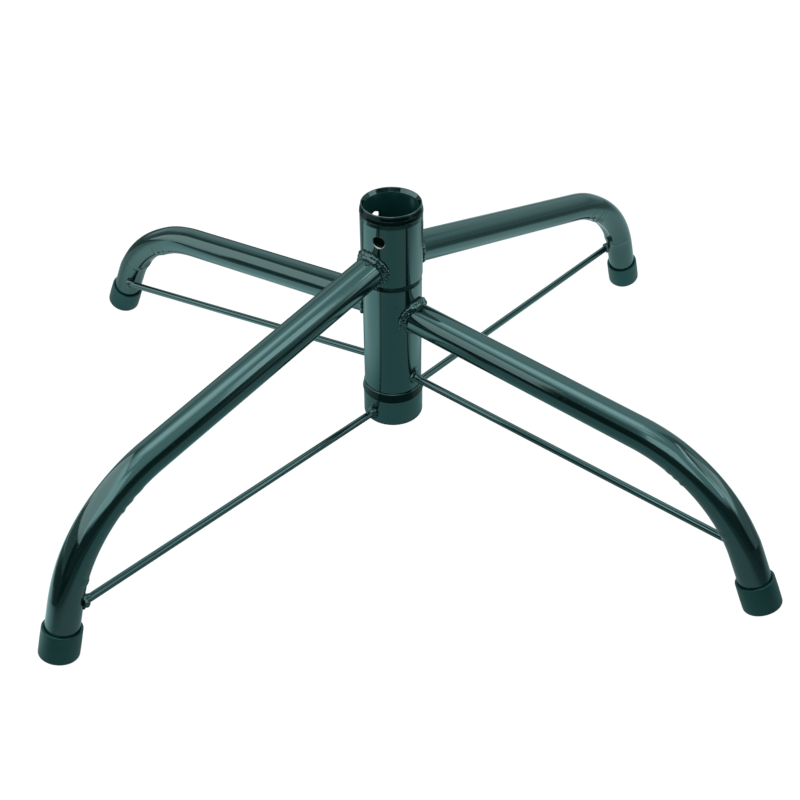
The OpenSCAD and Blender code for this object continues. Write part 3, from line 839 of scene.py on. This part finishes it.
cap_plastic = plastic_finish()
cap_outline = rounded(
    [(0, 0, 0), (CAP_R, 0, 1.5 * MM), (CAP_R + 0.05 * MM, CAP_L * 0.5, 3 * MM),
     (CAP_R - 0.1 * MM, CAP_L, 0.5 * MM), (LEG_R + 0.12 * MM, CAP_L, 0.35 * MM),
     (LEG_R + 0.12 * MM, 2.6 * MM, 0), (0, 2.6 * MM, 0)], 0.1 * MM, 6)
for pair, leg in LEGS.items():
    lean = math.radians(leg["lean"])
    end = bend_points(leg)[2]
    foot = end + Vector((math.sin(lean), 0, -math.cos(lean))) * leg["end"] * MM
    for side, turn in leg["sides"].items():
        bm = turned(cap_outline, 96)
        lie = (Matrix.Rotation(math.radians(turn), 4, "Z") @ Matrix.Translation(foot)
               @ Matrix.Rotation(-lean, 4, "Y"))
        bmesh.ops.transform(bm, matrix=lie, verts=bm.verts)
        for vert in bm.verts:
            vert.co.z = max(vert.co.z, 0)
        piece = finished(f"{pair}_cap_{side}_moulded", bm, cap_plastic)
        piece.data.set_sharp_from_angle(angle=math.radians(50))
        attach(piece, leg["body"])
        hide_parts(f"{pair}_cap_{side}")


# Floor, lights and camera
# A plain white floor, a pale room with dark gaps in it, soft boxes overhead, to the left, to the
# right and above the camera, and the camera where the photograph was taken from. Places here are
# in the photograph's frame: x to the right, y away and z up, turned from the stand's own frame.
VIEW_TURN = -44.975


def turned_place(tree, place):
    """The x, y and z of a place, or of a way, in the photograph's frame."""
    turned_back = add_node(tree, "ShaderNodeVectorRotate",
                           {"Vector": place, "Angle": math.radians(-VIEW_TURN)},
                           rotation_type="Z_AXIS").outputs[0]
    return add_node(tree, "ShaderNodeSeparateXYZ", {0: turned_back}).outputs


def patch(tree, *ranges):
    """A share from 0 to 1: the product of values that are each eased over a range."""
    share = scaled(tree, *ranges[0], easing="SMOOTHSTEP")
    for limits in ranges[1:]:
        share = maths(tree, "MULTIPLY", share, scaled(tree, *limits, easing="SMOOTHSTEP"))
    return share


def dimmed(tree, strength, changes):
    """A strength after each patch's change: -0.9 leaves a tenth of it in the patch's middle."""
    for share, change in changes:
        strength = maths(tree, "MULTIPLY", strength, maths(tree, "MULTIPLY_ADD", share, change, 1))
    return strength


bpy.ops.mesh.primitive_plane_add(size=12, location=(0, 0, 0))
floor = bpy.context.object
floor.name = "floor"
for vert in floor.data.vertices:
    vert.co.z = -0.0002
floor_white = bpy.data.materials.new("floor_white")
floor_white.use_nodes = True
tree = floor_white.node_tree
tree.nodes.clear()
x, y = turned_place(tree, add_node(tree, "ShaderNodeTexCoord").outputs["Object"])[:2]
away = diagonal(tree, x, y)
wide = maths(tree, "ABSOLUTE", x)
lean = maths(tree, "DIVIDE", y, wide)
to_the_side = patch(tree, (wide, 0.04, 0.14))
# the paper that the enamel mirrors is bright to the left and to the right, and dim elsewhere
left = patch(tree, (x, -0.05, -0.13), (lean, -1.05, -0.65))
right = patch(tree, (x, 0.06, 0.12), (lean, -0.6, -0.2),
              (maths(tree, "MULTIPLY_ADD", y, -0.6, x), 0.22, 0.40, 1, 0))
strength = maths(tree, "MULTIPLY_ADD", left, 0.70, maths(tree, "MULTIPLY_ADD", right, 0.52, 0.42))
# it dims far to the right, behind the two bright sides, behind the column to the left, far in
# front, and far to the left
behind = patch(tree, (y, 0.10, 0.16))
strength = dimmed(tree, strength, (
    (patch(tree, (x, 0.3, 0.5)), -0.35),
    (maths(tree, "MULTIPLY", left, behind), -0.55),
    (maths(tree, "MULTIPLY", right, behind), -0.25),
    (patch(tree, (x, 0.04, -0.06), (y, 0.18, 0.34)), -0.7),
    (patch(tree, (y, -0.05, -0.20), (away, 0.30, 0.45)), -0.65),
    (patch(tree, (x, -0.31, -0.37), (y, 0.06, 0.01)), -0.8)))
# the floor as mirrored is nearly black right under the column: a painted shadow
strength = maths(tree, "MULTIPLY", strength, patch(tree, (away, 0.029, 0.050, 0.08, 1)))
# the camera sees white paper, with a tenth of the lit floor in it that keeps the stand's shadow
path = add_node(tree, "ShaderNodeLightPath")
matt = add_node(tree, "ShaderNodeBsdfDiffuse", {"Color": (0.88, 0.88, 0.88, 1)})
paper = add_node(tree, "ShaderNodeEmission", {"Color": (1, 1, 1, 1), "Strength": 1.1})
tinge = blended(tree, to_the_side, (0.53, 1, 1, 1), (0.68, 1, 1, 1))
mirrored = add_node(tree, "ShaderNodeEmission", {"Color": tinge, "Strength": strength})
plain = add_node(tree, "ShaderNodeMixShader",
                 {0: maths(tree, "MULTIPLY", path.outputs["Is Camera Ray"], 0.9),
                  1: matt.outputs[0], 2: paper.outputs[0]})
mix = add_node(tree, "ShaderNodeMixShader", {0: path.outputs["Is Glossy Ray"],
                                             1: plain.outputs[0], 2: mirrored.outputs[0]})
add_node(tree, "ShaderNodeOutputMaterial", {0: mix.outputs[0]})
floor.data.materials.append(floor_white)

world = bpy.data.worlds.new("studio")
bpy.context.scene.world = world
world.use_nodes = True
tree = world.node_tree
x, y, z = turned_place(tree, add_node(tree, "ShaderNodeTexCoord").outputs["Generated"])
level = diagonal(tree, x, y)
side, ahead = maths(tree, "DIVIDE", x, level), maths(tree, "DIVIDE", y, level)
# the walls that the enamel mirrors grow brighter towards the ceiling, and have darker gaps: behind
# the camera, to the left, high and low to the right, high behind the left legs, and low ahead
walls = dimmed(tree, patch(tree, (z, 0.25, 0.85, 0.725, 1.05)), (
    (patch(tree, (ahead, -0.40, -0.53), (z, 0.52, 0.42)), -0.9),
    (patch(tree, (side, -0.6, -0.8), (z, 0.9, 0.75)), -0.65),
    (patch(tree, (side, 0.6, 0.78), (ahead, -0.25, -0.05), (z, 0.42, 0.55), (z, 0.95, 0.88)),
     -0.65),
    (patch(tree, (side, 0.45, 0.85), (z, 0.42, 0.15)), -0.42),
    (patch(tree, (side, -0.15, -0.4), (ahead, 0.2, 0.5), (z, 0.48, 0.62), (z, 0.85, 0.75)), -0.35),
    (patch(tree, (ahead, 0.85, 0.96), (z, 0.25, 0.05)), -0.45)))
path = add_node(tree, "ShaderNodeLightPath")
room = tree.nodes["Background"]
room.inputs["Color"].default_value = (1, 1, 1, 1)
room.inputs["Strength"].default_value = 0.40
mirrored = add_node(tree, "ShaderNodeBackground", {"Color": (0.72, 1, 1, 1), "Strength": walls})
white = add_node(tree, "ShaderNodeBackground", {"Color": (1, 1, 1, 1), "Strength": 1})
lit = add_node(tree, "ShaderNodeMixShader", {0: path.outputs["Is Glossy Ray"],
                                             1: room.outputs[0], 2: mirrored.outputs[0]})
mix = add_node(tree, "ShaderNodeMixShader", {0: path.outputs["Is Camera Ray"],
                                             1: lit.outputs[0], 2: white.outputs[0]})
tree.links.new(mix.outputs[0], tree.nodes["World Output"].inputs[0])


def light_panel(name, place, size, radiance, facing):
    """A soft box at a place in the photograph's frame (right, away, up), facing a way in it."""
    lamp = bpy.data.lights.new(name, "AREA")
    lamp.shape = "RECTANGLE"
    lamp.size, lamp.size_y = size
    lamp.energy = radiance * math.pi * size[0] * size[1]
    panel = bpy.data.objects.new(name, lamp)
    bpy.context.scene.collection.objects.link(panel)
    swing = Matrix.Rotation(math.radians(VIEW_TURN), 4, "Z")
    panel.matrix_world = (swing @ Matrix.Translation(place)
                          @ Vector(facing).to_track_quat("-Z", "Y").to_matrix().to_4x4())
    panel.visible_camera = False


def wall_panel(name, turn, rise, distance, radiance):
    """An upright soft box that fills a range of turn and rise seen from the stand, in degrees."""
    middle = math.radians(sum(turn) / 2)
    low, high = (distance * math.tan(math.radians(e)) for e in rise)
    out = Vector((math.sin(middle), math.cos(middle), 0))
    light_panel(name, out * distance + Vector((0, 0, 0.1 + (low + high) / 2)),
                (2 * distance * math.tan(math.radians(turn[1] - turn[0]) / 2), high - low),
                radiance, -out)


light_panel("overhead", (-0.30, 0.08, 2.3), (1.5, 1.2), 0.65, (0, 0, -1))
light_panel("overhead_middle", (-0.26, 0.10, 2.25), (0.85, 0.7), 0.95, (0, 0, -1))
light_panel("overhead_front", (-0.38, -0.72, 2.3), (0.5, 0.4), 1.0, (0, 0, -1))
light_panel("left_wall", (-0.435, -0.03, 0.375), (0.70, 0.45), 1.25, (0.883, 0.47, 0))
light_panel("left_low", (-0.528, 0.145, 0.1175), (0.30, 0.065), 1.0, (0.883, 0.47, 0))
light_panel("right_wall", (0.50, -0.11, 0.31), (0.28, 0.27), 0.9, (-1, 0, 0))
light_panel("right_upper", (0.50, -0.11, 0.63), (0.28, 0.14), 2.2, (-1, 0, 0))
wall_panel("above_camera", (171, 215), (30, 58), 1.8, 1.1)
wall_panel("right_strip", (117, 128), (30, 58), 2.2, 1.5)
wall_panel("right_glow", (98, 122), (20, 38), 2.2, 0.4)

# the camera, as it was worked out from the photograph: its turn, dip and roll in radians, its
# place in metres, and its lens as a length in pixels of an 800-pixel picture
yaw, pitch, roll = 0.0075, 0.6837, 0.006
CAMERA_AT = Vector((0, -0.60036, 0.518527))
LENS_PIXELS, PICTURE_PIXELS = 1153.967, 800
swing = Matrix.Rotation(math.radians(VIEW_TURN), 3, "Z")
ahead = swing @ Vector((math.sin(yaw) * math.cos(pitch), math.cos(yaw) * math.cos(pitch),
                        -math.sin(pitch)))
right = swing @ Vector((math.cos(yaw), -math.sin(yaw), 0))
down = ahead.cross(right)
level_right = math.cos(roll) * right + math.sin(roll) * down
level_down = math.cos(roll) * down - math.sin(roll) * right
eye = bpy.data.cameras.new("camera")
eye.sensor_width = 36
eye.lens = LENS_PIXELS / PICTURE_PIXELS * eye.sensor_width
camera = bpy.data.objects.new("camera", eye)
bpy.context.scene.collection.objects.link(camera)
aim = Matrix((level_right, -level_down, -ahead)).transposed()
camera.matrix_world = Matrix.LocRotScale(swing @ CAMERA_AT, aim.to_quaternion(), None)
bpy.context.scene.camera = camera
bpy.context.scene.view_settings.view_transform = "Standard"
